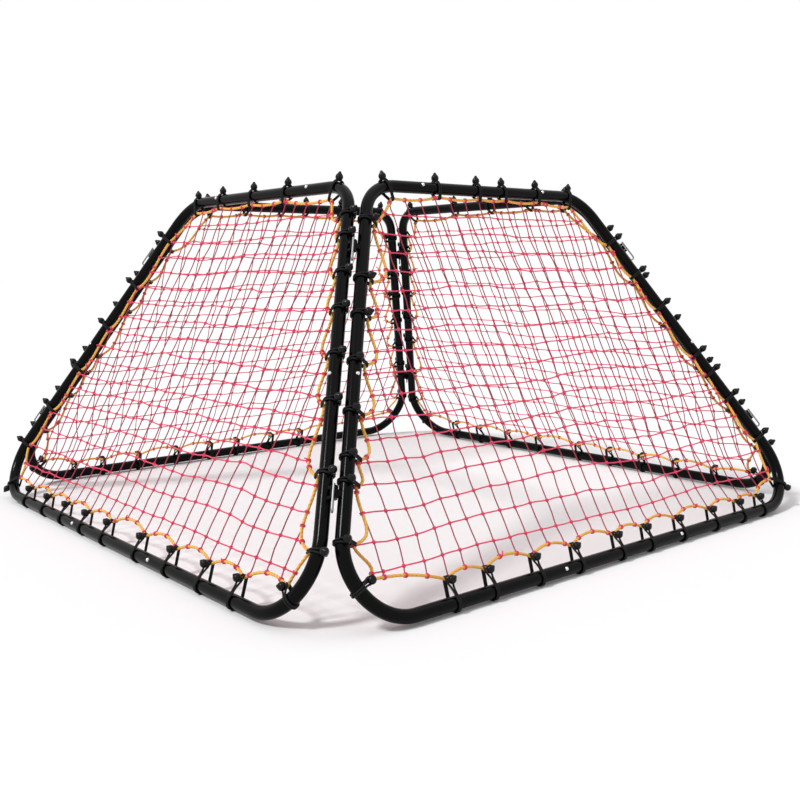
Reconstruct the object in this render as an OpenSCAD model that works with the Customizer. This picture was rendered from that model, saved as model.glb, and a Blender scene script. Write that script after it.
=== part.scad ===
/* [Frame] */
// Outside diameter of the frame tube
tube_d = 28; // [25:0.5:30]
// Wall thickness of the frame tube
tube_wall = 1.5; // [1.2:0.1:2]
// Bottom edge of one panel, between the corners where the tube centre lines would cross
panel_bottom = 1610; // [1580:10:1640]
// Top edge of one panel, between the corners where the tube centre lines would cross
panel_top = 724; // [710:2:740]
// Height of one panel along its slope, from the bottom to the top centre line
panel_slant = 929; // [910:1:945]
// Centre line radius of the bent corners
bend_r = 118; // [110:1:124]

/* [Tube joints] */
// Distance from the middle of a rail to the face where the next tube begins
rail_half = 180; // [176:1:184]
// Length of a rail's swaged end
rail_insert = 55; // [50:1:60]
// Height up the slope of the joint in each leg
leg_joint = 291; // [285:1:300]
// Length of the lower tube's swaged end in the leg
leg_insert = 215; // [212:1:225]
// Radial gap between a swaged end and the bore that it slides into
slip_gap = 0.1; // [0.05:0.05:0.2]
// Diameter of a snap button
button_d = 9; // [8:0.5:10]
// How far a snap button travels when it is pressed
button_travel = 5.2; // [5:0.1:5.5]

/* [Hinges] */
// Distance along the bottom edge from a leg's centre line to the hinge axis
hinge_gap = 28; // [27.5:0.5:29]
// Height up the slope of the lower hinge
hinge_low = 243; // [238:1:248]
// Height up the slope of the upper hinge
hinge_high = 762; // [757:1:767]
// Thickness of one ear of a fork
ear_t = 6; // [5:0.5:6]
// Thickness of a tongue
tongue_t = 12; // [10:0.5:12]
// Free play on each side of a tongue
tongue_play = 1; // [0.8:0.1:1.2]
// Wire diameter of a hairpin
hairpin_d = 4; // [3.8:0.1:4]
// Radial clearance of a hairpin in its bores
hairpin_play = 0.08; // [0.03:0.01:0.1]
// How far a hairpin's eye hangs below the fork
hairpin_drop = 30; // [25:1:32]

/* [Net] */
// Distance between two strands of the net
net_pitch = 55; // [54:1:60]
// Thickness of the net's twine
twine_d = 3.2; // [3:0.1:3.5]
// Diameter of the border rope
rope_d = 7; // [6:0.5:7]
// Depth of the rope's scallops along the bottom as a share of the distance between two bungees
scallop = 0.13; // [0.08:0.01:0.15]

/* [Bungees] */
// Diameter of the elastic cord
cord_d = 4.3; // [4:0.1:4.5]
// Diameter of the ball
ball_d = 19; // [18:0.5:20]
// Distance from the bottom rail's centre line to the border rope
bottom_reach = 50; // [46:1:54]
// Distance from the centre line of a leg or top rail to the border rope
edge_reach = 22.5; // [22:0.5:24]

/* [Hidden] */
$fn = 48;
SIDES = ["front_right", "back_right", "back_left", "front_left"];
PIECES = ["top_rail", "left_upper_tube", "right_upper_tube", "left_lower_tube", "right_lower_tube",
          "bottom_rail", "left_hinge_lugs", "right_hinge_lugs", "hairpins", "snap_buttons",
          "button_springs", "net", "border_rope", "bungee_cords", "bungee_balls"];

BLACK = "#232427";
STEEL = "#b9bcc2";
RED = "#e0284a";
ORANGE = "#f2992e";
CORD_BLACK = "#161618";
BALL_BLACK = "#2e2e31";

LEFT = -1;
RIGHT = 1;
tube_r = tube_d / 2;
bore_r = tube_r - tube_wall;
insert_r = bore_r - slip_gap;
insert_bore_r = insert_r - tube_wall;
shoulder = 3;

// The leg leans inward by this angle in its panel, and the panel leans by this angle from upright.
leg_run = (panel_bottom - panel_top) / 2;
leg_angle = atan(leg_run / panel_slant);
lean = asin(leg_run / panel_slant);
corner_angle = 90 - leg_angle;
bottom_bend_x = panel_bottom / 2 - bend_r / tan(corner_angle / 2);
top_bend_x = panel_top / 2 - bend_r / tan(90 - corner_angle / 2);

// The ring of panels stands on the cords round its bottom rails.
cord_r = cord_d / 2;
ring_r = tube_r + cord_r + 0.15;
base_z = ring_r + cord_r;
apothem = panel_bottom / 2 + hinge_gap;
corner_dihedral = 180 - acos(pow(sin(lean), 2));
hinge_offset = hinge_gap * cos(leg_angle);

// Snap buttons, up the slope in the legs and along the rails.
rail_button = rail_half + 28;
leg_button = 478;
button_r = button_d / 2;
button_play = 0.2;
button_low = 8.2;

// Two kinds of panel alternate round the ring. Their bungees are hooked on by hand, at these uneven
// places: along the bottom and top from left to right, and up the slope in the left and right legs.
bottom_places = [[-520, -417, -281, -154, -10, 97, 225, 365, 488, 585],
                 [-547, -415, -292, -166, -39, 136, 280, 423, 549]];
top_places = [[-158, -22, 67, 193], [-193, -40, 114]];
left_places = [[160, 268, 316, 404, 509, 611, 695, 836], [150, 275, 408, 542, 673, 819]];
right_places = [[191, 313, 390, 447, 594, 693, 792], [142, 284, 425, 523, 624, 708, 798, 851]];

// How deep the rope bows between two bungees, as a share of the distance between them.
left_bow = [0.34, 0.12];
right_bow = [0.12, 0.2];
top_bow = 0.05;
corner_reach = 46;
top_corner_reach = 30;
low_corner_turn = -20;
high_corner_turn = 76;

ball_r = ball_d / 2;
ball_near = tube_r + cord_d + ball_r + 0.4;
function leg_x(y) = panel_bottom / 2 - y * tan(leg_angle);

// Centre line of the right leg or of the bend below it: [x, y, direction that points away from the net].
function leg_line(y) =
    y > bend_r * (1 + sin(leg_angle)) ? [leg_x(y), y, leg_angle]
    : let (turn = asin(y / bend_r - 1)) [bottom_bend_x + bend_r * cos(turn), y, turn];

// A ball rests on the cord round the tube, or beside the rope in front of the net.
function ball_on_tube(turn) = ball_near * [cos(turn), sin(turn)];
function ball_at_rope(reach) = [4 - reach, -14.5];
outward = ball_on_tube(-42);
netward = ball_on_tube(-120);
upward = ball_on_tube(-25);
left_ball = [netward, outward];

// One bungee: [x, y, direction that points away from the net, reach to the rope, ball, root of the ball's
// tail, bow of the rope up to the next bungee, share of that stretch at which it bows most]
function on_bottom(x) =
    [x, 0, -90, bottom_reach, ball_at_rope(bottom_reach), [-bottom_reach, 0], scallop, 0.5];
function on_top(x) = [x, panel_slant, 90, edge_reach, upward, [0, 0], top_bow, 0.5];
function on_right(y, bow) =
    let (p = leg_line(y)) [p[0], y, p[2], edge_reach, outward, [0, 0], bow, 0.3];
function on_left(y, bow, ball) =
    let (p = leg_line(y)) [-p[0], y, 180 - p[2], edge_reach, ball, [0, 0], bow, 0.72];
function on_bend(side, x, y, turn, reach, ball, root) =
    [side * (x + bend_r * cos(turn)), y + bend_r * sin(turn), side > 0 ? turn : 180 - turn, reach,
     ball, root, top_bow, 0.5];
function low_corner(side) =
    on_bend(side, bottom_bend_x, bend_r, low_corner_turn, corner_reach, ball_at_rope(corner_reach),
            [-corner_reach, 0]);
function high_corner(side) =
    on_bend(side, top_bend_x, panel_slant - bend_r, high_corner_turn, top_corner_reach, upward, [0, 0]);
function backwards(list) = [for (i = [len(list) - 1 : -1 : 0]) list[i]];

// In order, anticlockwise from the bottom left as seen from outside.
bungees = [for (kind = [0, 1]) concat(
    [for (x = bottom_places[kind]) on_bottom(x)],
    [low_corner(RIGHT)],
    [for (y = right_places[kind]) on_right(y, right_bow[kind])],
    [high_corner(RIGHT)],
    [for (x = backwards(top_places[kind])) on_top(x)],
    [high_corner(LEFT)],
    [for (y = backwards(left_places[kind])) on_left(y, left_bow[kind], left_ball[kind])],
    [low_corner(LEFT)]
)];

// The first row of the net's knots, up the slope.
// The border rope is held at each bungee and bows towards the net in between.
net_first = 93;
SPAN_STEPS = 3;
rope_sides = 6;
function held(b) = [b[0] - b[3] * cos(b[2]), b[1] - b[3] * sin(b[2])];
function skewed(t, peak) =
    peak > 0.5 ? pow(t, ln(0.5) / ln(peak)) : 1 - pow(1 - t, ln(0.5) / ln(1 - peak));
function bow(a, b, depth, t, s) = a + (b - a) * t + 4 * depth * s * (1 - s) * [a[1] - b[1], b[0] - a[0]];
rope_paths = [for (list = bungees)
    [for (i = [0 : len(list) - 1], k = [0 : SPAN_STEPS - 1])
        let (here = list[i], next = list[(i + 1) % len(list)], t = k / SPAN_STEPS)
            bow(held(here), held(next), here[6], t, skewed(t, here[7]))]];

// ---------- Placing ----------

// Carries a panel from its own flat frame, x along the bottom, y up the slope, z outward, to its side.
module on_side(side) {
    rotate([0, 0, 45 + 90 * side])
        translate([0, -apothem, base_z])
            rotate([90 - lean, 0, 0])
                children();
}

module on_each_hand(hand) {
    if (hand == LEFT) mirror([1, 0, 0]) children();
    else children();
}

// A frame on a tube's centre line: x away from the net, z along the tube, y out of the panel's back.
module on_tube(x, y, away) {
    translate([x, y, 0])
        rotate([0, 0, away])
            rotate([-90, 0, 0])
                children();
}

module on_leg(y) {
    on_tube(leg_x(y), y, leg_angle) children();
}

// ---------- Tubes ----------

// Length of plain tube along z; a swaged one ends in a short thick shoulder and the reduced insert.
module plain_tube(length) {
    rotate_extrude() translate([bore_r, 0]) square([tube_wall, length]);
}

module swaged_tube(length, insert) {
    rotate_extrude()
        polygon([[bore_r, 0], [tube_r, 0], [tube_r, length], [insert_r, length],
                 [insert_r, length + insert], [insert_bore_r, length + insert],
                 [insert_bore_r, length - shoulder], [bore_r, length - shoulder]]);
}

module ring_2d(outer, inner) {
    difference() {
        circle(r = outer);
        circle(r = inner);
    }
}

// A weld joins each bend to its leg: proud of both by a hair, and dressed flush under the paint.
weld = 1.6;
weld_hair = 0.03;

// A bend round z that starts at the top, over the origin, and turns clockwise.
module tube_bend(turn) {
    weld_turn = weld / bend_r * 180 / PI;
    rotate([0, 0, 90])
        rotate_extrude(angle = weld_turn / 2 - turn)
            translate([bend_r, 0]) ring_2d(tube_r, bore_r);
    rotate([0, 0, 90 - turn])
        rotate_extrude(angle = weld_turn)
            translate([bend_r, 0]) ring_2d(tube_r + weld_hair, bore_r - weld_hair);
}

// The first child runs from the bend's start towards -x, the second on from its end.
module bent_tube(turn) {
    translate([0, bend_r, 0]) rotate([0, -90, 0]) children(0);
    tube_bend(turn);
    rotate([0, 0, 90 - turn])
        translate([bend_r, weld / 4, 0])
            rotate([90, 0, 0]) children(1);
}

module button_hole() {
    cylinder(r = button_r + button_play, h = 2 * tube_r);
}

// One half of a rail's profile is drawn and the other mirrored, so both ends are swaged.
module rail(y) {
    end = rail_half + rail_insert;
    inner = rail_half - shoulder;
    half = [[insert_bore_r, inner], [insert_bore_r, end], [insert_r, end], [insert_r, rail_half],
            [tube_r, rail_half]];
    other = [for (i = [len(half) - 1 : -1 : 0]) [half[i][0], -half[i][1]]];
    color(BLACK)
        translate([0, y, 0])
            difference() {
                rotate([0, 90, 0])
                    rotate_extrude() polygon(concat([[bore_r, inner]], half, other, [[bore_r, -inner]]));
                for (hand = [LEFT, RIGHT]) translate([hand * rail_button, 0, 0]) button_hole();
            }
}

// Top corner of a panel, from the top rail round the bend to the joint in the leg.
module upper_tube() {
    bend_y = panel_slant - bend_r;
    bend_end = bend_y + bend_r * sin(leg_angle);
    color(BLACK) difference() {
        translate([top_bend_x, bend_y, 0])
            bent_tube(90 - leg_angle) {
                plain_tube(top_bend_x - rail_half);
                plain_tube((bend_end - leg_joint) / cos(leg_angle) + weld / 4);
            }
        translate([rail_button, panel_slant, 0]) button_hole();
        translate([leg_x(leg_button), leg_button, 0]) button_hole();
    }
}

// Bottom corner of a panel, from the bottom rail round the bend to the insert that fills the leg.
module lower_tube() {
    bend_end = bend_r + bend_r * sin(leg_angle);
    color(BLACK) difference() {
        translate([bottom_bend_x, bend_r, 0])
            mirror([0, 1, 0])
                bent_tube(90 + leg_angle) {
                    plain_tube(bottom_bend_x - rail_half);
                    swaged_tube((leg_joint - bend_end) / cos(leg_angle) + weld / 4, leg_insert);
                }
        translate([rail_button, 0, 0]) button_hole();
        translate([leg_x(leg_button), leg_button, 0]) button_hole();
    }
}

// ---------- Snap buttons ----------

// Calls its children at each snap button, with z out of the panel's front and x towards the insert's root.
module at_each_button() {
    for (hand = [LEFT, RIGHT]) {
        on_each_hand(hand) {
            translate([rail_button, panel_slant, 0]) rotate([0, 0, 180]) children();
            translate([rail_button, 0, 0]) rotate([0, 0, 180]) children();
            translate([leg_x(leg_button), leg_button, 0]) rotate([0, 0, leg_angle - 90]) children();
        }
    }
}

module snap_button() {
    dome_z = bore_r + button_travel - button_r;
    foot_r = 6.2;
    color(STEEL) {
        translate([0, 0, button_low - 1]) cylinder(r = foot_r, h = 1);
        translate([0, 0, button_low - 0.5]) cylinder(r = button_r, h = dome_z - button_low + 0.5);
        translate([0, 0, dome_z]) sphere(r = button_r);
    }
}

// A strip bent into a V that lies along the bore and pushes the button out.
module button_spring() {
    strip = 0.8;
    width = 8;
    reach = 45;
    floor_z = -9.6;
    fold_r = 5.8;
    fold_z = floor_z + fold_r;
    top_z = button_low - 1;
    color(STEEL) rotate([90, 0, 0])
        linear_extrude(width, center = true) {
            translate([reach, fold_z])
                difference() {
                    circle(r = fold_r + strip / 2);
                    circle(r = fold_r - strip / 2);
                    translate([-4 * fold_r, -2 * fold_r]) square(4 * fold_r);
                }
            translate([-8, floor_z - strip / 2]) square([reach + 8, strip]);
            polygon([[-5, top_z - strip], [reach, fold_z + fold_r - strip / 2],
                     [reach, fold_z + fold_r + strip / 2], [-5, top_z]]);
        }
}

// ---------- Hinges ----------

lug_r = 7.5;
lug_web = 12;

module lug_outline(bore) {
    difference() {
        union() {
            translate([hinge_offset, 0]) circle(r = lug_r);
            translate([0, -lug_web / 2]) square([hinge_offset, lug_web]);
        }
        circle(r = tube_r);
        translate([hinge_offset, 0]) circle(r = bore);
    }
}

hairpin_bore = hairpin_d / 2 + hairpin_play;
fork_half = tongue_t / 2 + tongue_play + ear_t;

module fork() {
    color(BLACK) for (z = [-fork_half, fork_half - ear_t])
        translate([0, 0, z]) linear_extrude(ear_t) lug_outline(hairpin_bore);
}

module tongue() {
    color(BLACK) linear_extrude(tongue_t, center = true) lug_outline(hairpin_bore);
}

// The back left panel's tongue is an open hook, so that the back corner can be lifted apart.
mouth_turn = 39;
mouth_spread = 15;

module hook() {
    mouth = 2 * lug_r;
    seat_r = hairpin_d / 2 + 0.5;
    color(BLACK) difference() {
        tongue();
        translate([hinge_offset, 0, 0]) {
            cylinder(r = seat_r, h = 2 * tongue_t, center = true);
            rotate([0, 0, mouth_turn])
                linear_extrude(2 * tongue_t, center = true)
                    polygon([[0, -seat_r], [mouth, -seat_r - mouth * tan(mouth_spread)],
                             [mouth, seat_r + mouth * tan(mouth_spread)], [0, seat_r]]);
        }
    }
}

module pointed_wire(radius, length) {
    tip = radius / 2;
    rotate_extrude()
        polygon([[0, 0], [radius, 0], [radius, length - tip], [radius - tip, length], [0, length]]);
}

// A wire hairpin: the straight leg is the hinge pin, the other leg grips the outside of the knuckle.
module hairpin() {
    wire_r = hairpin_d / 2;
    eye_r = (lug_r + wire_r + 0.7) / 2;
    eye_z = -fork_half - hairpin_drop + eye_r + wire_r;
    color(STEEL)
        translate([hinge_offset, 0, 0])
            rotate([0, 0, -corner_dihedral / 2])
                translate([0, 0, eye_z]) {
                    pointed_wire(wire_r, fork_half + 6 - eye_z);
                    translate([2 * eye_r, 0, 0]) pointed_wire(wire_r, fork_half + 2 - eye_z);
                    translate([eye_r, 0, 0])
                        rotate([-90, 0, 0])
                            rotate_extrude(angle = 180) translate([eye_r, 0]) circle(r = wire_r, $fn = 24);
                }
}

module at_each_hinge() {
    for (y = [hinge_low, hinge_high]) on_leg(y) children();
}

// ---------- Net and border rope ----------

// Square meshes cut to the slope of the panel, tied to the border rope at every strand.
module net(kind) {
    rows = ceil((panel_slant - net_first) / net_pitch);
    opening = net_pitch - twine_d;
    color(RED)
        translate([0, 0, -twine_d / 2])
            linear_extrude(twine_d)
                difference() {
                    polygon(rope_paths[kind]);
                    for (j = [0 : rows]) {
                        y = net_first + (j - 1) * net_pitch;
                        columns = ceil(leg_x(y) / net_pitch);
                        for (i = [-columns : columns])
                            translate([(i - 0.5) * net_pitch + twine_d / 2, y + twine_d / 2])
                                square(opening);
                    }
                }
}

module border_rope(kind) {
    path = rope_paths[kind];
    n = len(path);
    away = [for (i = [0 : n - 1])
        let (d = path[(i + 1) % n] - path[(i + n - 1) % n])
            [d[1], -d[0]] / norm(d)];
    points = [for (i = [0 : n - 1], k = [0 : rope_sides - 1])
        let (a = 360 * k / rope_sides, out = rope_d / 2 * cos(a) * away[i])
            [path[i][0] + out[0], path[i][1] + out[1], rope_d / 2 * sin(a)]];
    faces = [for (i = [0 : n - 1], k = [0 : rope_sides - 1])
        let (here = i * rope_sides, next = ((i + 1) % n) * rope_sides, l = (k + 1) % rope_sides)
            each [[here + k, next + k, next + l], [here + k, next + l, here + l]]];
    color(ORANGE) polyhedron(points, faces);
}

// ---------- Bungees ----------

module at_each_bungee(kind) {
    for ($b = bungees[kind]) on_tube($b[0], $b[1], $b[2]) children();
}

module strand(from, to, width) {
    d = to - from;
    translate(from)
        rotate(atan2(d[1], d[0]))
            translate([0, -width / 2]) square([norm(d), width]);
}

// Cord round the tube, two strands to the rope, and the end that passes through the ball into a loop.
module bungee_cord() {
    reach = $b[3];
    tail = $b[4] - $b[5];
    tip_r = 4;
    strand_w = cord_d * 0.85;
    leave = acos(ring_r / reach) - 15;
    color(CORD_BLACK)
        linear_extrude(cord_d, center = true) {
            difference() {
                circle(r = ring_r + cord_r);
                circle(r = ring_r - cord_r);
            }
            for (face = [-1, 1])
                strand(ring_r * [-cos(leave), face * sin(leave)], [-reach, 0], strand_w);
            translate($b[5]) rotate(atan2(tail[1], tail[0])) {
                strand([norm($b[5]) > 0 ? -2 : ring_r, 0], [norm(tail) + ball_r + 2, 0], strand_w);
                translate([norm(tail) + ball_r + tip_r, 0])
                    difference() {
                        circle(r = tip_r + cord_r / 2);
                        circle(r = tip_r - cord_r / 2);
                    }
            }
        }
}

module bungee_ball() {
    tail = $b[4] - $b[5];
    color(BALL_BLACK) translate([$b[4][0], $b[4][1], 0])
        rotate([0, 0, atan2(tail[1], tail[0])])
            difference() {
                sphere(r = ball_r);
                rotate([0, 90, 0]) cylinder(r = cord_r + 0.7, h = 3 * ball_r, center = true);
            }
}

// ---------- One panel ----------

module left_hinge_lugs(side) {
    on_each_hand(LEFT)
        at_each_hinge()
            if (SIDES[side] == "back_left") hook();
            else tongue();
}

module panel_piece(side, piece) {
    kind = side % 2;
    on_side(side) {
        if (piece == "top_rail") rail(panel_slant);
        if (piece == "bottom_rail") rail(0);
        if (piece == "left_upper_tube") on_each_hand(LEFT) upper_tube();
        if (piece == "right_upper_tube") upper_tube();
        if (piece == "left_lower_tube") on_each_hand(LEFT) lower_tube();
        if (piece == "right_lower_tube") lower_tube();
        if (piece == "left_hinge_lugs") left_hinge_lugs(side);
        if (piece == "right_hinge_lugs") at_each_hinge() fork();
        if (piece == "hairpins") at_each_hinge() hairpin();
        if (piece == "snap_buttons") at_each_button() snap_button();
        if (piece == "button_springs") at_each_button() button_spring();
        if (piece == "net") net(kind);
        if (piece == "border_rope") border_rope(kind);
        if (piece == "bungee_cords") at_each_bungee(kind) bungee_cord();
        if (piece == "bungee_balls") at_each_bungee(kind) bungee_ball();
    }
}

for (side = [0 : 3], piece = PIECES)
    panel_piece(side, piece);
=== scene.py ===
import math
import random

import bpy
import numpy as np
from mathutils import Matrix, Vector


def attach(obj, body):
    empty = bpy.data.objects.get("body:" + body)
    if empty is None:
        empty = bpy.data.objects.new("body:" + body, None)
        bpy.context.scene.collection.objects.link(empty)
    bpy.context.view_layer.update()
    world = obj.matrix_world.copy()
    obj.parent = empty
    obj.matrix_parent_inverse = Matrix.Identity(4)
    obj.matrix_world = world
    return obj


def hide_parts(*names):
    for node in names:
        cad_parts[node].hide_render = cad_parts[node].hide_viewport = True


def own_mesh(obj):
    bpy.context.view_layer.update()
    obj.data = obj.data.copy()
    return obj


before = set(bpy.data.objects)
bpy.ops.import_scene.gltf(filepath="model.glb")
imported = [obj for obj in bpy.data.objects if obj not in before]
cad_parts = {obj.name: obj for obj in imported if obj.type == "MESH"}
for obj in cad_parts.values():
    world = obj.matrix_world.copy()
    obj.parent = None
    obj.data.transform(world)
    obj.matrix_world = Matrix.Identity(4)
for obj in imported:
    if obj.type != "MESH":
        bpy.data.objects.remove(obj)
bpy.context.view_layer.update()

MM = 0.001
SIDES = ("front_right", "back_right", "back_left", "front_left")

# ---------- Camera ----------

# Metres, radians, and pixels of a square picture.
CAMERA_PLACE = Vector((0.2511, -2.7479, 0.6457))
CAMERA_YAW, CAMERA_PITCH, CAMERA_ROLL = -0.1048, 0.1392, 0.0103
FOCAL_PX, AXIS_PX, PICTURE_PX, SENSOR_MM = 976.7, (369.7, 407.2), 800, 36


def aim_camera():
    ahead = Vector((math.sin(CAMERA_YAW) * math.cos(CAMERA_PITCH),
                    math.cos(CAMERA_YAW) * math.cos(CAMERA_PITCH), -math.sin(CAMERA_PITCH)))
    right = Vector((math.cos(CAMERA_YAW), -math.sin(CAMERA_YAW), 0))
    down = ahead.cross(right)
    across = right * math.cos(CAMERA_ROLL) + down * math.sin(CAMERA_ROLL)
    up = right * math.sin(CAMERA_ROLL) - down * math.cos(CAMERA_ROLL)
    camera = bpy.data.objects.new("camera", bpy.data.cameras.new("camera"))
    bpy.context.scene.collection.objects.link(camera)
    turn = Matrix((across, up, -ahead)).transposed().to_4x4()
    camera.matrix_world = Matrix.Translation(CAMERA_PLACE) @ turn
    camera.data.sensor_width = SENSOR_MM
    camera.data.lens = FOCAL_PX * SENSOR_MM / PICTURE_PX
    camera.data.shift_x = 0.5 - AXIS_PX[0] / PICTURE_PX
    camera.data.shift_y = AXIS_PX[1] / PICTURE_PX - 0.5
    camera.data.clip_end = 100
    bpy.context.scene.camera = camera


aim_camera()

# ---------- Materials ----------


class Socket:
    """A value that runs through a material's nodes, so that sums of sockets read as sums."""

    def __init__(self, finish, output):
        self.finish, self.output = finish, output

    def _math(self, operation, a, b):
        return self.finish.node("ShaderNodeMath", {"operation": operation}, {0: a, 1: b})

    def __add__(self, other):
        return self._math("ADD", self, other)

    def __mul__(self, other):
        return self._math("MULTIPLY", self, other)

    def __sub__(self, other):
        return self._math("SUBTRACT", self, other)

    def __rsub__(self, other):
        return self._math("SUBTRACT", other, self)

    __radd__, __rmul__ = __add__, __mul__

    def sine(self):
        return self._math("SINE", self, 0)

    def above(self, limit):
        return self._math("GREATER_THAN", self, limit)

    def clamped(self, low, high):
        return self._math("MINIMUM", self._math("MAXIMUM", self, low), high)


class Finish:
    """One procedural material. node() adds a node: its settings first, then its sockets' values or links."""

    def __init__(self, name, **fixed):
        self.material = bpy.data.materials.new(name)
        self.material.use_nodes = True
        self.tree = self.material.node_tree
        self.shader = self.tree.nodes["Principled BSDF"]
        self.set(**fixed)

    def node(self, kind, settings=None, sockets=None, out=0):
        made = self.tree.nodes.new(kind)
        for name, value in (settings or {}).items():
            setattr(made, name, value)
        for name, value in (sockets or {}).items():
            self.feed(made.inputs[name], value)
        return Socket(self, made.outputs[out])

    def feed(self, socket, value):
        if isinstance(value, Socket):
            self.tree.links.new(value.output, socket)
        else:
            socket.default_value = value

    def place(self):
        return self.node("ShaderNodeTexCoord", out="Object")

    def lengthwise(self):
        """(turns round, metres along) of a swept piece."""
        uv = self.node("ShaderNodeUVMap", {"uv_map": "lengthwise"})
        return [self.node("ShaderNodeSeparateXYZ", None, {0: uv}, out) for out in ("X", "Y")]

    def lay(self, strands, pitch, hand=1):
        """-1 to 1 across strands that are laid round a swept piece and come round once in pitch metres."""
        turns, along = self.lengthwise()
        return (along * (2 * math.pi * strands / pitch) + turns * (hand * 2 * math.pi * strands)).sine()

    def noise(self, scale, detail=3, roughness=0.5):
        sockets = {"Vector": self.place(), "Scale": scale, "Detail": detail, "Roughness": roughness}
        return self.node("ShaderNodeTexNoise", None, sockets, "Fac")

    def blend(self, share, low, high):
        """A colour between two: the Mix node takes them on sockets 6 and 7, and gives output 2."""
        return self.node("ShaderNodeMix", {"data_type": "RGBA"}, {0: share, 6: low, 7: high}, 2)

    def bump(self, height, distance, strength=1.0):
        sockets = {"Height": height, "Distance": distance, "Strength": strength}
        self.feed(self.shader.inputs["Normal"], self.node("ShaderNodeBump", None, sockets))

    def set(self, **values):
        for name, value in values.items():
            self.feed(self.shader.inputs[name.replace("_", " ").title().replace("Ior", "IOR")], value)
        return self.material


def rgb(r, g, b):
    return (r, g, b, 1.0)


def powder_coat():
    finish = Finish("satin_black_powder_coat", specular_ior_level=0.075)
    cloud = finish.noise(7, 4)
    peel = finish.noise(900, 2)
    dust = finish.noise(60, 6, 0.7)
    speck = (dust - 0.62).clamped(0, 0.2) * 2.2
    tone = finish.blend(cloud, rgb(0.0012, 0.0013, 0.0015), rgb(0.0026, 0.0027, 0.0030))
    finish.bump(peel, 0.00012, 0.35)
    return finish.set(base_color=finish.blend(speck, tone, rgb(0.022, 0.021, 0.020)),
                      roughness=0.13 + cloud * 0.05 + speck * 0.5)


def zinc_plate(name, dull, bright, roughness):
    finish = Finish(name, metallic=1.0)
    grain = finish.noise(260, 4)
    finish.bump(grain, 0.0001, 0.3)
    plating = finish.blend(grain, rgb(dull, dull, dull * 1.04), rgb(bright, bright, bright * 1.02))
    return finish.set(base_color=plating, roughness=roughness + grain * 0.16)


def spring_steel():
    finish = Finish("blued_spring_strip", metallic=1.0)
    grain = finish.noise(120, 4)
    return finish.set(base_color=finish.blend(grain, rgb(0.20, 0.21, 0.24), rgb(0.36, 0.37, 0.40)),
                      roughness=0.28 + grain * 0.2)


# Turns that are added round the strands up the slope, to tell them from those across: they get painted
# shade, a darker red that stands in for the shade they fall in.
SLOPE_MARK = 2
# How many strands are laid round each cord, and the metres in which they come round once.
TWINE_STRANDS, ROPE_STRANDS, YARN_STRANDS, BRAID_STRANDS = 2, 3, 5, 4
TWINE_LAY, ROPE_LAY, YARN_LAY, BRAID_LAY = 0.012, 0.028, 0.0175, 0.012


def red_twine():
    finish = Finish("red_twisted_twine")
    turns, _ = finish.lengthwise()
    lay = finish.lay(TWINE_STRANDS, TWINE_LAY) * 0.5 + 0.5
    fade = finish.noise(9, 3)
    fibre = finish.noise(700, 2)
    deep = finish.blend(fade, rgb(0.66, 0.022, 0.075), rgb(0.80, 0.036, 0.110))
    # painted highlight: the crowns of the twist are blended towards a light red, as if lit
    tone = finish.blend(lay * 0.75, deep, rgb(0.97, 0.100, 0.210))
    # painted shade: the strands up the slope are blended towards dark maroon, as if in shade
    slope_shaded = finish.blend(turns.above(SLOPE_MARK - 0.5) * (0.55 + fade * 0.5), tone, rgb(0.20, 0.008, 0.030))
    finish.bump(lay + fibre * 0.5, 0.0006, 0.7)
    return finish.set(base_color=slope_shaded, roughness=0.5 + fibre * 0.2)


def laid_rope():
    finish = Finish("orange_laid_rope")
    groove = finish.lay(ROPE_STRANDS, ROPE_LAY) * 0.5 + 0.5
    yarn = finish.lay(YARN_STRANDS, YARN_LAY, -1) * 0.5 + 0.5
    fade = finish.noise(14, 3)
    fleck = (finish.noise(420, 2) - 0.60).clamped(0, 0.12) * 5.0
    body = finish.blend(fade, rgb(0.83, 0.27, 0.018), rgb(0.93, 0.44, 0.045))
    lit = finish.blend(groove * 0.5 + yarn * 0.25, body, rgb(1.0, 0.66, 0.16))
    finish.bump(groove + yarn * 0.4, 0.0008, 0.8)
    return finish.set(base_color=finish.blend(fleck, lit, rgb(0.16, 0.055, 0.012)),
                      roughness=0.62 + yarn * 0.15)


def elastic_cord():
    finish = Finish("black_braided_elastic", specular_ior_level=0.16)
    one_way, other_way = (finish.lay(BRAID_STRANDS, BRAID_LAY, hand) for hand in (1, -1))
    braid = one_way * other_way * 0.5 + 0.5
    finish.bump(braid, 0.0004, 0.6)
    return finish.set(base_color=finish.blend(braid, rgb(0.002, 0.002, 0.0025), rgb(0.008, 0.008, 0.009)),
                      roughness=0.44 + braid * 0.16)


def moulded_ball():
    finish = Finish("black_moulded_ball", specular_ior_level=0.16)
    mottle = finish.noise(180, 3)
    finish.bump(finish.noise(500, 2), 0.0002, 0.25)
    return finish.set(base_color=finish.blend(mottle, rgb(0.003, 0.003, 0.0035), rgb(0.009, 0.009, 0.010)),
                      roughness=0.16 + mottle * 0.1)


PAINT, STRIP_STEEL = powder_coat(), spring_steel()
ZINC = zinc_plate("bright_zinc_plate", 0.58, 0.78, 0.16)
WIRE = zinc_plate("dulled_zinc_wire", 0.22, 0.40, 0.34)
TWINE, ROPE, ELASTIC, BALL = red_twine(), laid_rope(), elastic_cord(), moulded_ball()

# ---------- Shapes ----------

# Sides of the swept and turned shapes, TURN_SIDES being those of knots, lashings and tails.
ROPE_SIDES, TWINE_SIDES, TURN_SIDES, CORD_SIDES, BALL_SIDES = 12, 6, 5, 7, 20


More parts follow.
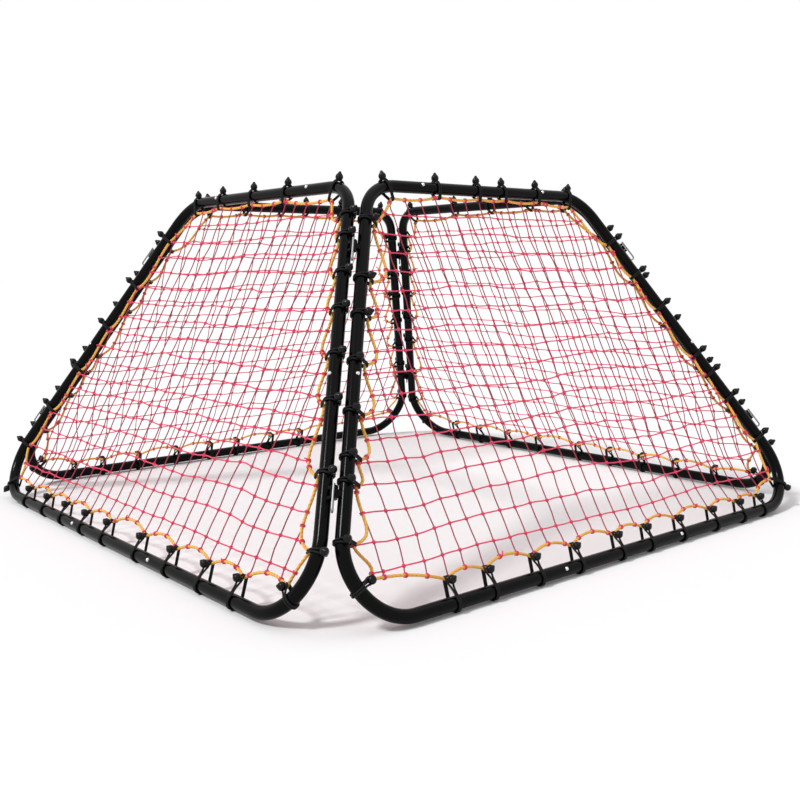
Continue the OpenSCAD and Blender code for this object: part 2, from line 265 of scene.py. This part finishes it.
class Skin:
    """Gathers the swept and turned shapes of one piece, with turns round and metres along as its UV."""

    def __init__(self):
        self.points, self.faces, self.uvs, self.count = [], [], [], 0

    def grid(self, rings, lengths, closed=False, turns=0):
        """Joins rings of points in order. The last meets the first if closed, else both ends are capped."""
        rows, sides = rings.shape[:2]
        base = self.count
        self.points.append(rings.reshape(-1, 3))
        self.count += rows * sides
        for i in range(rows if closed else rows - 1):
            here, there = base + i * sides, base + (i + 1) % rows * sides
            v0, v1 = lengths[i], lengths[i + 1]
            for k in range(sides):
                n = (k + 1) % sides
                self.faces.append((here + k, here + n, there + n, there + k))
                u0, u1 = turns + k / sides, turns + (k + 1) / sides
                self.uvs += [u0, v0, u1, v0, u1, v1, u0, v1]
        if not closed:
            for i, order in ((0, range(sides - 1, -1, -1)), (rows - 1, range(sides))):
                self.faces.append(tuple(base + i * sides + k for k in order))
                for k in order:
                    self.uvs += [turns + k / sides, lengths[i]]

    def sweep(self, path, radius, sides, aside, closed=False, lobes=0, lobe_pitch=1.0, lobe_depth=0.0,
              turns=0):
        """A tube along path, plain or with lobes that wind round it. The path never runs along aside."""
        path = np.asarray(path, float)
        if closed:
            ahead = np.roll(path, -1, 0) - np.roll(path, 1, 0)
        else:
            ahead = np.gradient(path, axis=0)
        ahead /= np.linalg.norm(ahead, axis=1)[:, None]
        b = np.cross(ahead, aside)
        b /= np.linalg.norm(b, axis=1)[:, None]
        n = np.cross(b, ahead)
        steps = np.linalg.norm(np.roll(path, -1, 0) - path, axis=1)
        lengths = np.concatenate([[0], np.cumsum(steps)])
        angle = np.arange(sides) * 2 * math.pi / sides
        wound = angle[None, :] + 2 * math.pi * lengths[:len(path), None] / lobe_pitch
        size = radius * (1 + lobe_depth * np.cos(lobes * wound))
        rings = (path[:, None] + (np.cos(angle)[None, :] * size)[..., None] * b[:, None]
                 + (np.sin(angle)[None, :] * size)[..., None] * n[:, None])
        self.grid(rings, lengths, closed, turns)

    def turned(self, profile, start, axis, aside, sides):
        """A shape turned round axis from start, profile being (along, radius) pairs."""
        b = np.cross(axis, aside)
        b /= np.linalg.norm(b)
        n = np.cross(b, axis)
        angle = np.arange(sides) * 2 * math.pi / sides
        round_it = np.cos(angle)[:, None] * b + np.sin(angle)[:, None] * n
        rings = np.array([start + axis * along + round_it * radius for along, radius in profile])
        self.grid(rings, [along for along, _ in profile])

    def piece(self, name, side, material, node):
        """Carries what was gathered from the panel's flat frame, in mm, to its side of the ring."""
        points = np.concatenate(self.points) * MM @ turn_of(side).T + shift_of(side)
        mesh = bpy.data.meshes.new(name)
        mesh.from_pydata(points.tolist(), [], self.faces)
        layer = mesh.uv_layers.new(name="lengthwise")
        uvs = np.array(self.uvs, np.float32)
        uvs[1::2] *= MM
        layer.data.foreach_set("uv", uvs)
        mesh.polygons.foreach_set("use_smooth", [True] * len(mesh.polygons))
        mesh.materials.append(material)
        made = bpy.data.objects.new(name, mesh)
        bpy.context.scene.collection.objects.link(made)
        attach(made, SIDES[side])
        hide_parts(f"{SIDES[side]}_{node}")
        return made


# ---------- The panel's flat frame, in mm: x along the bottom, y up the slope, z outward ----------

NORMAL = np.array([0.0, 0.0, 1.0])
TUBE_R, CORD_R, BALL_R, ROPE_R, TWINE_R = 14, 2.15, 9.0, 3.5, 1.6
PANEL_BOTTOM, PANEL_TOP, PANEL_SLANT, BEND_R = 1610, 724, 929, 118
HINGE_GAP = 28
CLEARANCE = 0.15
RING_R = TUBE_R + CORD_R + CLEARANCE
LEG_RUN = (PANEL_BOTTOM - PANEL_TOP) / 2
LEG_ANGLE = math.atan(LEG_RUN / PANEL_SLANT)
LEAN = math.asin(LEG_RUN / PANEL_SLANT)
CORNER = math.pi / 2 - LEG_ANGLE
BOTTOM_BEND_X = PANEL_BOTTOM / 2 - BEND_R / math.tan(CORNER / 2)
TOP_BEND_X = PANEL_TOP / 2 - BEND_R / math.tan(math.pi / 2 - CORNER / 2)


def bearing_of(side):
    return math.radians(45 + 90 * side)


def turn_of(side):
    """Leans the flat frame and turns it to its side of the ring."""
    a, t = math.pi / 2 - LEAN, bearing_of(side)
    tip = np.array([[1, 0, 0], [0, math.cos(a), -math.sin(a)], [0, math.sin(a), math.cos(a)]])
    round_z = np.array([[math.cos(t), -math.sin(t), 0], [math.sin(t), math.cos(t), 0], [0, 0, 1]])
    return round_z @ tip


def shift_of(side):
    """Where the flat frame's origin, the middle of the bottom rail, stands. In metres."""
    t = bearing_of(side)
    apothem = (PANEL_BOTTOM / 2 + HINGE_GAP) * MM
    return np.array([math.sin(t) * apothem, -math.cos(t) * apothem, (RING_R + CORD_R) * MM])


def leg_line(y):
    """Centre line of the right leg or of the bend below it: x, y and the direction away from the net."""
    if y > BEND_R * (1 + math.sin(LEG_ANGLE)):
        return PANEL_BOTTOM / 2 - y * math.tan(LEG_ANGLE), y, LEG_ANGLE
    turn = math.asin(y / BEND_R - 1)
    return BOTTOM_BEND_X + BEND_R * math.cos(turn), y, turn


# Two kinds of panel alternate round the ring, with their bungees hooked on by hand at uneven places.
BOTTOM_PLACES = ((-520, -417, -281, -154, -10, 97, 225, 365, 488, 585),
                 (-547, -415, -292, -166, -39, 136, 280, 423, 549))
TOP_PLACES = ((-158, -22, 67, 193), (-193, -40, 114))
LEFT_PLACES = ((160, 268, 316, 404, 509, 611, 695, 836), (150, 275, 408, 542, 673, 819))
RIGHT_PLACES = ((191, 313, 390, 447, 594, 693, 792), (142, 284, 425, 523, 624, 708, 798, 851))
# Degrees round the bends: at the bottom right then left for each kind, at the top the same on all.
LOW_CORNER_TURNS, HIGH_CORNER_TURN = ((-36, -24), (-38, -52)), 76

# The rope's bow between two bungees as a share of their distance, and where along the legs it is deepest.
LEFT_BOW, RIGHT_BOW, BOTTOM_BOW, TOP_BOW = (0.24, 0.12), (0.12, 0.2), 0.13, 0.05
LEFT_PEAK, RIGHT_PEAK = 0.72, 0.3

# From the tube's centre line to the rope's. That of the bottom rail is for its middle, and falls by
# BOTTOM_REACH_FALL a mm towards the panel's outer end.
EDGE_REACH, BOTTOM_REACH, LOW_CORNER_REACH, HIGH_CORNER_REACH = 22.5, 42, 31, 30
BOTTOM_REACH_FALL = 0.01

# Where the balls sit, in degrees round the tube: 0 is away from the net and -90 outside the ring. The two
# kinds come first and second, and those above HIGH_LEFT_FROM on the left leg differ.
RIGHT_BALLS, LEFT_BALLS, HIGH_LEFT_BALLS = (-45, -15), (-80, -45), (-115, -45)
TOP_BALLS, OUTER_BALLS = -25, -22
HIGH_LEFT_FROM = 550
BALL_NEAR = TUBE_R + CORD_R + BALL_R - 0.6
BALL_OFF_ROPE, ROPE_BALL_TIP_IN, TIP_ALONG = np.array([4.0, -14.5]), 0.7, 0.9


class Bungee:
    """place is x, y on the tube and the direction away from the net, and reach is how far off the rope is.
    The ball sits beside the tube at ball_turn degrees, or at the rope if that is None. bow and peak are
    those of the rope up to the next bungee, and tip_along turns the ball's tip along the tube."""

    def __init__(self, place, reach, ball_turn, bow, peak=0.5, tip_along=0.0):
        x, y, away = place
        self.reach, self.bow, self.peak, self.tip_along = reach, bow, peak, tip_along
        self.at_rope = ball_turn is None
        if self.at_rope:
            self.root = np.array([-reach, 0.0])
            self.ball = self.root + BALL_OFF_ROPE
        else:
            turn = math.radians(ball_turn)
            self.ball, self.root = BALL_NEAR * np.array([math.cos(turn), math.sin(turn)]), np.zeros(2)
        self.middle = np.array([x, y, 0.0])
        self.out = np.array([math.cos(away), math.sin(away), 0.0])
        self.back = -NORMAL
        self.along = np.array([-math.sin(away), math.cos(away), 0.0])

    def at(self, out, back, along=0.0):
        return self.middle + out * self.out + back * self.back + along * self.along

    def way(self):
        """The ball's axis, towards its tip."""
        out, back = (self.ball - self.root) / np.linalg.norm(self.ball - self.root)
        if self.at_rope:
            out -= ROPE_BALL_TIP_IN
        way = out * self.out + back * self.back + self.tip_along * self.along
        return way / np.linalg.norm(way)


def mirrored(place):
    x, y, away = place
    return -x, y, math.pi - away


def bend_line(x, y, turn):
    """A place on the bend whose centre is x, y."""
    return x + BEND_R * math.cos(turn), y + BEND_R * math.sin(turn), turn


def bungees_of(side):
    """In order, anticlockwise from the bottom left as seen from outside. outer is 1 where the panel's outer
    corner is on the right, and -1 where it is on the left."""
    kind = side % 2
    outer = (1, -1)[kind]
    tips = TIP_ALONG * outer
    outer_ball = OUTER_BALLS if SIDES[side].startswith("front") else None
    right_ball, left_ball = (outer_ball, None) if outer == 1 else (None, outer_ball)
    low_places = [bend_line(BOTTOM_BEND_X, BEND_R, math.radians(turn)) for turn in LOW_CORNER_TURNS[kind]]
    low_right = Bungee(low_places[0], LOW_CORNER_REACH, right_ball, TOP_BOW, tip_along=tips)
    low_left = Bungee(mirrored(low_places[1]), LOW_CORNER_REACH, left_ball, TOP_BOW, tip_along=-tips)
    high_place = bend_line(TOP_BEND_X, PANEL_SLANT - BEND_R, math.radians(HIGH_CORNER_TURN))
    high_right, high_left = (Bungee(place, HIGH_CORNER_REACH, TOP_BALLS, TOP_BOW)
                             for place in (high_place, mirrored(high_place)))
    bottom = [Bungee((x, 0, -math.pi / 2), BOTTOM_REACH - BOTTOM_REACH_FALL * outer * x, None, BOTTOM_BOW,
                     tip_along=tips) for x in BOTTOM_PLACES[kind]]
    right = [Bungee(leg_line(y), EDGE_REACH, RIGHT_BALLS[kind], RIGHT_BOW[kind], RIGHT_PEAK)
             for y in RIGHT_PLACES[kind]]
    top = [Bungee((x, PANEL_SLANT, math.pi / 2), EDGE_REACH, TOP_BALLS, TOP_BOW)
           for x in TOP_PLACES[kind][::-1]]
    left = [Bungee(mirrored(leg_line(y)), EDGE_REACH,
                   (HIGH_LEFT_BALLS if y > HIGH_LEFT_FROM else LEFT_BALLS)[kind], LEFT_BOW[kind], LEFT_PEAK)
            for y in LEFT_PLACES[kind][::-1]]
    return bottom + [low_right] + right + [high_right] + top + [high_left] + left + [low_left]


# ---------- Border rope ----------

ROPE_STEP, FEWEST_STEPS = 3.0, 6
ROPE_BODY, LOBE_DEPTH = 0.88, 0.09


def rope_path(bungees):
    """The closed centre line, bowed inward between bungees. s is 1/2 where the bow is deepest."""
    held = [b.at(-b.reach, 0) for b in bungees]
    path = []
    for bungee, a, b in zip(bungees, held, held[1:] + held[:1]):
        d = b - a
        inward = np.array([-d[1], d[0], 0.0])
        steps = max(FEWEST_STEPS, round(float(np.linalg.norm(d)) / ROPE_STEP))
        for k in range(steps):
            t = k / steps
            if bungee.peak > 0.5:
                s = t ** (math.log(0.5) / math.log(bungee.peak))
            else:
                s = 1 - (1 - t) ** (math.log(0.5) / math.log(1 - bungee.peak))
            path.append(a + d * t + 4 * bungee.bow * s * (1 - s) * inward)
    return np.array(path)


def rope_piece(side, path):
    skin = Skin()
    skin.sweep(path, ROPE_R * ROPE_BODY, ROPE_SIDES, NORMAL, closed=True, lobes=ROPE_STRANDS,
               lobe_pitch=ROPE_LAY / MM, lobe_depth=LOBE_DEPTH)
    skin.piece(f"{SIDES[side]}_laid_border_rope", side, ROPE, "border_rope")


# ---------- Net ----------

COLUMN_PITCH, COLUMNS, ROWS = 49, 34, 18
LOW_ROWS = (93, 150, 205, 257, 300, 343, 385)
ROW_PITCH = 47
SHORTEST_STRAND, KNOT_CLEARANCE, KNOT_FROM_ROPE = 30, 12, 9

# The net's unevenness: waves as spans of height, of radians a mm along x and along y, and of phase, then
# the scatter of the knots, which fades where the rope holds them, and the slack of the strands between.
WAVE_SPANS, WAVES_EACH_WAY, WAVE_HEIGHT = ((-1, 1), (0.006, 0.016), (0.006, 0.016), (0, 6.28)), 5, 2.6
KNOT_SCATTER, KNOT_LIFT, NET_SAG, HELD_WITHIN = 1.3, 1.0, 7.0, 70
STRAND_SLACK, STRAND_LIFT, STRAND_WIDTH = 0.9, 0.6, (0.84, 0.97)

# The lower net is drawn in from the sides, most at the bottom and away from the middle.
DRAWN_IN, DRAWN_BELOW, DRAWN_BEYOND, DRAWN_SPREAD = 26, 320, 150, 500

# Knots, the twine's turns round the rope, and its tails there, each with its share of the twine's radius.
KNOT_TILT, KNOT_LENGTH, KNOT_HEIGHT, KNOT_CANT, KNOT_TWINE = 0.4, 3.1, 2.5, 0.9, 0.95
LASH_STEP, LASH_CLEARANCE, LASH_TWINE = 1.5, 1.0, 0.85
TAIL_SHARE, TAIL_LENGTHS, TAIL_DRIFT, TAIL_TWINE = 0.16, (9, 20), 0.8, 0.9
TAIL_START, TAIL_RISE, TAIL_FALL_IN, TAIL_ASIDE = 4, 0.25, 0.6, (0.3, 0.2, 1)
EIGHTHS = np.linspace(0, 2 * math.pi, 9)[:-1]


def row_height(j):
    last = len(LOW_ROWS) - 1
    return LOW_ROWS[j] if j <= last else LOW_ROWS[last] + (j - last) * ROW_PITCH


def crossings(path, axis, value):
    """Where the closed path crosses x = value or y = value: (other coordinate, index) pairs in order."""
    found = []
    for i in range(len(path)):
        a, b = path[i], path[(i + 1) % len(path)]
        if (a[axis] - value) * (b[axis] - value) < 0:
            t = (value - a[axis]) / (b[axis] - a[axis])
            found.append((a[1 - axis] + t * (b[1 - axis] - a[1 - axis]), i))
    return sorted(found)


def smooth_path(points, steps):
    """A Catmull-Rom curve through points, with steps to a span."""
    p = np.vstack([2 * points[0] - points[1], points, 2 * points[-1] - points[-2]])
    t = (np.arange(steps) / steps)[:, None]
    out = []
    for i in range(1, len(p) - 2):
        a, b, c, d = p[i - 1:i + 3]
        slope, bend, twist = c - a, 2 * a - 5 * b + 4 * c - d, 3 * b - a - 3 * c + d
        out.append(0.5 * (2 * b + slope * t + bend * t ** 2 + twist * t ** 3))
    return np.vstack(out + [points[-1:]])


def net_piece(side, path):
    draw = random.Random(40 + side)
    waves = [[draw.uniform(*span) for span in WAVE_SPANS] for _ in range(2 * WAVES_EACH_WAY)]

    def settled(x, y, edge):
        """Moves a knot by the net's own unevenness, fading towards the rope, edge being its distance."""
        hold = min(1.0, edge / HELD_WITHIN)
        dx = sum(a * math.sin(kx * x + ky * y + p) for a, kx, ky, p in waves[:WAVES_EACH_WAY]) * WAVE_HEIGHT
        dy = sum(a * math.sin(kx * x - ky * y + p) for a, kx, ky, p in waves[WAVES_EACH_WAY:]) * WAVE_HEIGHT
        drawn = max(0.0, 1 - y / DRAWN_BELOW) * max(0.0, (abs(x) - DRAWN_BEYOND) / DRAWN_SPREAD) * DRAWN_IN
        dx -= math.copysign(drawn, x)
        return np.array([x + hold * (dx + draw.gauss(0, KNOT_SCATTER)),
                         y + hold * (dy + draw.gauss(0, KNOT_SCATTER)),
                         hold * (draw.gauss(0, KNOT_LIFT) - NET_SAG)])

    columns = [(i + 0.5 - COLUMNS / 2) * COLUMN_PITCH for i in range(COLUMNS)]
    rows = [row_height(j) for j in range(ROWS)]
    knots, ends, strands = {}, [], []
    for axis, lines, others in ((0, columns, rows), (1, rows, columns)):
        for line_number, value in enumerate(lines):
            found = crossings(path, axis, value)
            if len(found) < 2:
                continue
            (low, low_at), (high, high_at) = found[0], found[-1]
            if high - low < SHORTEST_STRAND:
                continue
            inside = []
            for other_number, other in enumerate(others):
                if low + KNOT_CLEARANCE < other < high - KNOT_CLEARANCE:
                    key = (line_number, other_number) if axis == 0 else (other_number, line_number)
                    if key not in knots:
                        x, y = (value, other) if axis == 0 else (other, value)
                        edge = float(np.min(np.linalg.norm(path[:, :2] - (x, y), axis=1)))
                        knots[key] = settled(x, y, edge) if edge > KNOT_FROM_ROPE else None
                    if knots[key] is not None:
                        inside.append(knots[key])
            first = np.array([value, low, 0.0] if axis == 0 else [low, value, 0.0])
            last = np.array([value, high, 0.0] if axis == 0 else [high, value, 0.0])
            ends += [(first, low_at), (last, high_at)]
            strands.append((axis, [first] + inside + [last]))
    skin = Skin()
    for axis, strand in strands:
        points = [strand[0]]
        for a, b in zip(strand, strand[1:]):
            d = b - a
            sideways = np.array([-d[1], d[0], 0]) / max(1.0, float(np.linalg.norm(d)))
            points.append((a + b) / 2 + sideways * draw.gauss(0, STRAND_SLACK)
                          + NORMAL * draw.gauss(0, STRAND_LIFT))
            points.append(b)
        skin.sweep(smooth_path(np.array(points), 2), STRAND_WIDTH[axis] * TWINE_R, TWINE_SIDES, NORMAL,
                   turns=(SLOPE_MARK, 0)[axis])
    for knot in knots.values():
        if knot is not None:
            tie_knot(skin, knot, draw)
    for point, at in ends:
        lash(skin, path, point, at, draw)
    skin.piece(f"{SIDES[side]}_knotted_net", side, TWINE, "net")


def tie_knot(skin, knot, draw):
    """Two crossed turns of twine, which is what shows of a mesh knot."""
    tilt = draw.uniform(-KNOT_TILT, KNOT_TILT)
    for sign in (-1, 1):
        angle = tilt + sign * math.pi / 4
        x = np.array([math.cos(angle), math.sin(angle), 0])
        y = np.array([-math.sin(angle), math.cos(angle), 0])
        loop = [knot + KNOT_LENGTH * math.cos(a) * y + KNOT_HEIGHT * math.sin(a) * NORMAL
                + KNOT_CANT * math.cos(a) * sign * x for a in EIGHTHS]
        skin.sweep(loop, TWINE_R * KNOT_TWINE, TURN_SIDES, x, closed=True)


def lash(skin, path, point, at, draw):
    """The twine's turns round the rope, and now and then its tail."""
    ahead = path[(at + 1) % len(path)] - path[at]
    ahead = ahead / np.linalg.norm(ahead)
    aside = np.cross(ahead, NORMAL)
    for step in (-LASH_STEP, LASH_STEP):
        loop = [point + ahead * step
                + (ROPE_R + LASH_CLEARANCE) * (math.cos(a) * aside + math.sin(a) * NORMAL) for a in EIGHTHS]
        skin.sweep(loop, TWINE_R * LASH_TWINE, TURN_SIDES, ahead, closed=True)
    if draw.random() < TAIL_SHARE:
        length = draw.uniform(*TAIL_LENGTHS)
        drift = draw.uniform(-TAIL_DRIFT, TAIL_DRIFT)
        tail = [point + aside * TAIL_START + ahead * drift * s * length
                + NORMAL * (TAIL_START + TAIL_RISE * length * math.sin(s * 2))
                - aside * s * length * TAIL_FALL_IN for s in (0, 0.35, 0.7, 1.0)]
        skin.sweep(tail, TWINE_R * TAIL_TWINE, TURN_SIDES, TAIL_ASIDE)


# ---------- Bungees ----------

TUBE_STEPS, ROPE_STEPS, CORD_STEP = 26, 7, 5
ROPE_CLEARANCE, ON_TUBE_WITHIN = 0.1, 3
PARTING_AT_ROPE, PARTING_AT_TUBE, NEAR_FALL, BALL_LIFT, SKEW = 4.2, 2.6, 120, 0.10, 2.5
# (along, radius) pairs that close a ball, ending in its boss.
BOSS = [(BALL_R * 0.86, 5.2), (BALL_R + 0.6, 3.8), (BALL_R + 2.6, 2.9), (BALL_R + 4.0, 1.3)]
SHORT_BOSS = [(BALL_R * 0.88, 4.3), (BALL_R + 0.6, 2.6), (BALL_R + 1.8, 1.2)]
CORD_MOUTH = [(-BALL_R + 0.4, 2.6)]


def belt(bungee):
    """The cord's centre line round the tube and the rope, as (out, back) pairs."""
    d, r = bungee.reach, ROPE_R + CORD_R + ROPE_CLEARANCE
    leave = math.acos((RING_R - r) / d)
    round_tube = np.linspace(math.pi - leave, leave - math.pi, TUBE_STEPS + 1)
    round_rope = np.linspace(math.pi + leave, math.pi - leave, ROPE_STEPS + 1)
    return ([(RING_R * math.cos(a), RING_R * math.sin(a)) for a in round_tube]
            + [(r * math.cos(a) - d, r * math.sin(a)) for a in round_rope])


def cord_piece(side, bungees):
    """Two turns of cord a bungee, which part and rise where the ball sits between them."""
    draw = random.Random(70 + side)
    skin = Skin()
    for b in bungees:
        route = belt(b)
        dense = []
        for (x0, y0), (x1, y1) in zip(route, route[1:] + route[:1]):
            n = max(1, round(math.hypot(x1 - x0, y1 - y0) / CORD_STEP))
            dense += [(x0 + (x1 - x0) * k / n, y0 + (y1 - y0) * k / n) for k in range(n)]
        gap = min(math.hypot(x - b.ball[0], y - b.ball[1]) for x, y in dense)
        parting = PARTING_AT_ROPE if b.at_rope else PARTING_AT_TUBE
        skew = draw.uniform(-SKEW, SKEW)
        for hand in (-1, 1):
            loop = []
            for x, y in dense:
                far = math.hypot(x - b.ball[0], y - b.ball[1])
                near = math.exp((gap ** 2 - far ** 2) / NEAR_FALL)
                lift = 1 + BALL_LIFT * near * (math.hypot(x, y) < RING_R + ON_TUBE_WITHIN)
                lean = skew * math.sin(math.atan2(y, x) + 1.0) * 0.5
                loop.append(b.at(x * lift, y * lift, hand * (CORD_R + CLEARANCE + parting * near) + lean))
            skin.sweep(loop, CORD_R, CORD_SIDES, b.along, closed=True)
    skin.piece(f"{SIDES[side]}_elastic_loops", side, ELASTIC, "bungee_cords")


def ball_piece(side, bungees):
    """Each ball ends in a pointed boss, which is shorter on the balls at the rope."""
    skin = Skin()
    angles = [math.pi * k / 12 for k in range(1, 10)]
    rounded = [(-BALL_R * math.cos(a), BALL_R * math.sin(a)) for a in angles]
    for b in bungees:
        boss, aside = (SHORT_BOSS, b.out) if b.at_rope else (BOSS, b.along)
        skin.turned(CORD_MOUTH + rounded + boss, b.at(*b.ball), b.way(), aside, BALL_SIDES)
    skin.piece(f"{SIDES[side]}_moulded_balls", side, BALL, "bungee_balls")


# ---------- Button springs ----------

RAIL_BUTTON, LEG_BUTTON, BUTTON_FOOT, BUTTON_TRAVEL = 208, 478, 7.2, 5.2
STRIP, STRIP_WIDTH, SPRING_REACH, SPRING_FLOOR, FOLD_R = 0.8, 8, 45, -9.6, 5.8
LOWER_END, UPPER_END, UNDER_BUTTON, FOLD_POINTS = -8, -5, 0.05, 13


def spring_piece(side):
    """Folded strips along the bore, under the buttons."""
    fold = [(SPRING_REACH + FOLD_R * math.sin(a), SPRING_FLOOR + FOLD_R - FOLD_R * math.cos(a))
            for a in np.linspace(0, math.pi, FOLD_POINTS)]
    top = BUTTON_FOOT - STRIP / 2 - UNDER_BUTTON
    line = np.array([(LOWER_END, SPRING_FLOOR)] + fold + [(UPPER_END, top)], float)
    run = np.gradient(line, axis=0)
    run /= np.linalg.norm(run, axis=1)[:, None]
    aside = np.stack([-run[:, 1], run[:, 0]], axis=1) * STRIP / 2
    lengths = np.concatenate([[0], np.cumsum(np.linalg.norm(np.diff(line, axis=0), axis=1))])
    leg_x, leg_y, _ = leg_line(LEG_BUTTON)
    skin = Skin()
    for hand in (-1, 1):
        to_middle = np.array([-hand, 0, 0])
        down_leg = np.array([hand * math.sin(LEG_ANGLE), -math.cos(LEG_ANGLE), 0])
        for x, y, ahead in ((RAIL_BUTTON, PANEL_SLANT, to_middle), (RAIL_BUTTON, 0, to_middle),
                            (leg_x, leg_y, down_leg)):
            across = np.cross(NORMAL, ahead) * STRIP_WIDTH / 2
            rings = []
            for (along, height), (da, dh) in zip(line, aside):
                corners = ((along + da, height + dh, 1), (along + da, height + dh, -1),
                           (along - da, height - dh, -1), (along - da, height - dh, 1))
                rings.append([np.array([hand * x, y, 0]) + ahead * a + NORMAL * h + across * c
                              for a, h, c in corners])
            skin.grid(np.array(rings), lengths)
    made = skin.piece(f"{SIDES[side]}_folded_springs", side, STRIP_STEEL, "button_springs")
    made.data.polygons.foreach_set("use_smooth", [False] * len(made.data.polygons))
    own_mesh(made)


# ---------- The kept CAD pieces ----------

PAINTED = ("top_rail", "left_upper_tube", "right_upper_tube", "left_lower_tube", "right_lower_tube",
           "bottom_rail", "left_hinge_lugs", "right_hinge_lugs")
FINISH_OF = {**dict.fromkeys(PAINTED, PAINT), "hairpins": WIRE, "snap_buttons": ZINC}

for side_name in SIDES:
    for node_name, finish in FINISH_OF.items():
        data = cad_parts[f"{side_name}_{node_name}"].data
        data.materials.clear()
        data.materials.append(finish)

# ---------- The pieces that stand for the soft solids and the springs ----------

for side in range(len(SIDES)):
    panel_bungees = bungees_of(side)
    panel_rope = rope_path(panel_bungees)
    rope_piece(side, panel_rope)
    net_piece(side, panel_rope)
    cord_piece(side, panel_bungees)
    ball_piece(side, panel_bungees)
    spring_piece(side)

# ---------- Floor and light ----------

FLOOR_HALF, LIGHT_FROM_BACKDROP = 60, 0.52


def backdrop_share(tree):
    """1 for the rays by which the camera, metal and glass see the backdrop, 0 for what lights things."""
    rays = tree.nodes.new("ShaderNodeLightPath")
    seen = rays.outputs["Is Camera Ray"]
    for ray in ("Is Glossy Ray", "Is Transmission Ray"):
        most = tree.nodes.new("ShaderNodeMath")
        most.operation = "MAXIMUM"
        tree.links.new(seen, most.inputs[0])
        tree.links.new(rays.outputs[ray], most.inputs[1])
        seen = most.outputs[0]
    return seen


def white_world():
    world = bpy.data.worlds.new("studio")
    bpy.context.scene.world = world
    world.use_nodes = True
    tree = world.node_tree
    background = tree.nodes["Background"]
    background.inputs["Color"].default_value = rgb(1, 1, 1)
    level = tree.nodes.new("ShaderNodeMapRange")
    level.inputs["To Min"].default_value = LIGHT_FROM_BACKDROP
    level.inputs["To Max"].default_value = 1.0
    tree.links.new(backdrop_share(tree), level.inputs["Value"])
    tree.links.new(level.outputs["Result"], background.inputs["Strength"])


def pale_floor():
    mesh = bpy.data.meshes.new("floor")
    corners = [(x * FLOOR_HALF, y * FLOOR_HALF, 0) for x, y in ((-1, -1), (1, -1), (1, 1), (-1, 1))]
    mesh.from_pydata(corners, [], [(0, 1, 2, 3)])
    floor = bpy.data.objects.new("floor", mesh)
    bpy.context.scene.collection.objects.link(floor)
    mesh.materials.append(Finish("pale_floor").set(roughness=1.0, specular_ior_level=0.0,
                                                   base_color=rgb(0.96, 0.955, 0.965)))


def soft_sun(name, coming_from, spread, strength):
    lamp = bpy.data.objects.new(name, bpy.data.lights.new(name, "SUN"))
    bpy.context.scene.collection.objects.link(lamp)
    lamp.data.angle, lamp.data.energy = math.radians(spread), strength
    lamp.rotation_mode = "QUATERNION"
    lamp.rotation_quaternion = Vector(coming_from).to_track_quat("Z", "Y")


white_world()
pale_floor()
soft_sun("left_front_and_high", (-0.508, -0.403, 0.762), 10, 1.8)
soft_sun("overhead", (0.25, 0.1, 1.0), 60, 0.4)

bpy.context.scene.view_settings.view_transform = "Standard"
